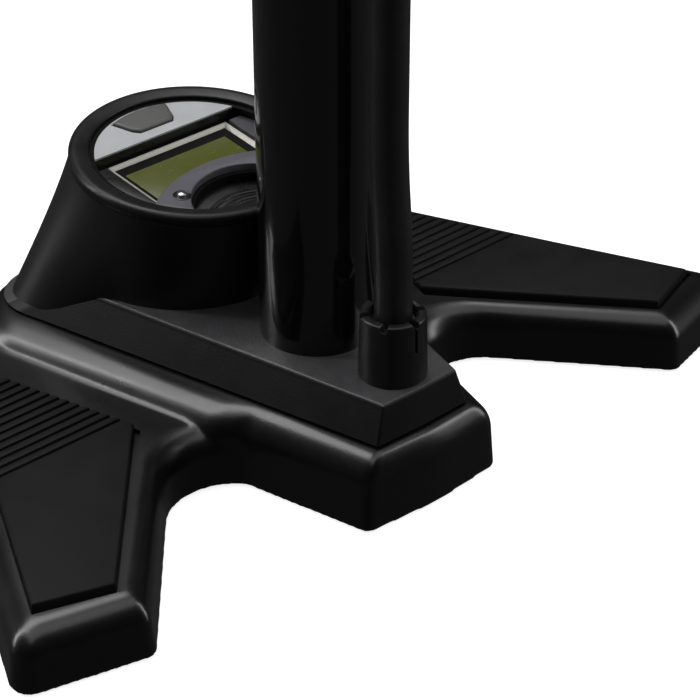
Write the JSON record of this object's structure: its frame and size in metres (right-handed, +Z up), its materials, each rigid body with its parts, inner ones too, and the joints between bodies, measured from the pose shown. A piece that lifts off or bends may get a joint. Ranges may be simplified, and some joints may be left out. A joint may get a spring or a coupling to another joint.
{
  "type": "floor bike pump",
  "caption": "Floor pump for bike tyres: cast three-point base with a digital gauge, upright barrel, T-handle plunger, and a hose parked on the barrel with a lever-lock valve chuck.",
  "frame": {"origin": "on the floor, on the barrel's axis, in the plane of the feet's undersides", "axes": "+Z up along the barrel, -Y towards the nose and the hose port, +Y towards the gauge, the two standing legs along X"},
  "size_m": [0.312, 0.1898, 0.6627],
  "materials": {
    "cast": "satin black paint on cast aluminium",
    "cover": "fine grained black moulding",
    "housing": "smooth matte black moulding",
    "bezel": "smooth dark grey moulding",
    "tread": "ribbed matte rubber",
    "soft_rubber": "plain black rubber",
    "barrel_paint": "high gloss black paint on steel tube",
    "hose_rubber": "satin hose rubber",
    "black_plastic": "satin black moulding",
    "dial": "dark grey moulding",
    "silver_plastic": "silver painted moulding",
    "button_plastic": "mid grey moulding",
    "arch_plastic": "light grey moulding",
    "lcd": "unlit olive display",
    "lcd_frame": "silver display frame",
    "board": "green solder mask",
    "steel": "plain steel",
    "chrome": "hard chrome plate",
    "alloy": "bead blasted alloy",
    "brass": "turned brass",
    "bush": "natural acetal",
    "grip": "soft ribbed grip rubber"
  },
  "bodies": {
    "stand": {"base_casting": "cast", "manifold_block": "alloy", "left_tread": "tread", "right_tread": "tread", "rubber_feet": "soft_rubber", "cover_screws": "steel", "deck_cover": "cover", "gauge_housing": "housing", "gauge_bezel": "bezel", "dial_plate": "dial", "dial_panel": "silver_plastic", "lcd_bezel": "lcd_frame", "lcd_panel": "lcd", "dial_arch": "arch_plastic", "dial_screws": "steel", "circuit_board": "board", "coin_cell": "steel", "pressure_sensor": "black_plastic", "sensor_tube": "bush", "barrel": "barrel_paint", "barrel_seal": "soft_rubber", "check_seat": "brass", "check_spring": "steel", "barrel_cap": "black_plastic", "rod_bush": "bush", "rod_wiper": "soft_rubber", "hose": "hose_rubber", "hose_collar": "black_plastic", "hose_fitting": "brass", "hose_seal": "soft_rubber", "hose_clip": "black_plastic", "hose_ferrule": "alloy", "chuck_dock": "black_plastic", "chuck_body": "black_plastic", "chuck_cap": "alloy", "chuck_gasket": "soft_rubber", "lever_pin": "steel"},
    "plunger": {"piston_seal": "soft_rubber"},
    "handle": {"piston_rod": "chrome", "piston_head": "black_plastic", "piston_bolt": "steel", "topout_bumper": "soft_rubber", "handle_bumper": "soft_rubber", "handle_core": "black_plastic", "left_grip": "grip", "right_grip": "grip", "grip_caps": "black_plastic", "handle_screw": "steel", "handle_plug": "black_plastic"},
    "button": {"mode_button": "button_plastic"},
    "valve_ball": {"check_ball": "steel"},
    "lever": {"chuck_lever": "alloy"},
    "squeezer": {"chuck_plunger": "bush"}
  },
  "joints": [
    {"name": "plunger_slide", "type": "slide", "parent": "stand", "child": "plunger", "axis": [0, 0, 1], "range_m": [0, 0.533]},
    {"name": "handle_spin", "type": "hinge", "parent": "plunger", "child": "handle", "pos_m": [0, 0, 0.3], "axis": [0, 0, 1], "continuous": true},
    {"name": "button_press", "type": "slide", "parent": "stand", "child": "button", "axis": [0, 0.0854, -0.9963], "range_m": [0, 0.0012], "stiffness_N_per_m": 500},
    {"name": "check_lift", "type": "slide", "parent": "stand", "child": "valve_ball", "axis": [0, 0, -1], "range_m": [0, 0.0012], "stiffness_N_per_m": 60, "deforming": ["check_spring"]},
    {"name": "lever_swing", "type": "hinge", "parent": "stand", "child": "lever", "pos_m": [0.07813, 0, 0.333], "axis": [0, 1, 0], "range_deg": [0, 95]},
    {"name": "squeeze", "type": "slide", "parent": "stand", "child": "squeezer", "axis": [0, 0, -1], "range_m": [0, 0.00155]}
  ],
  "couplings": [
    {"joint": "squeeze", "follows": "lever_swing", "m_per_rad": 0.00091795}
  ]
}
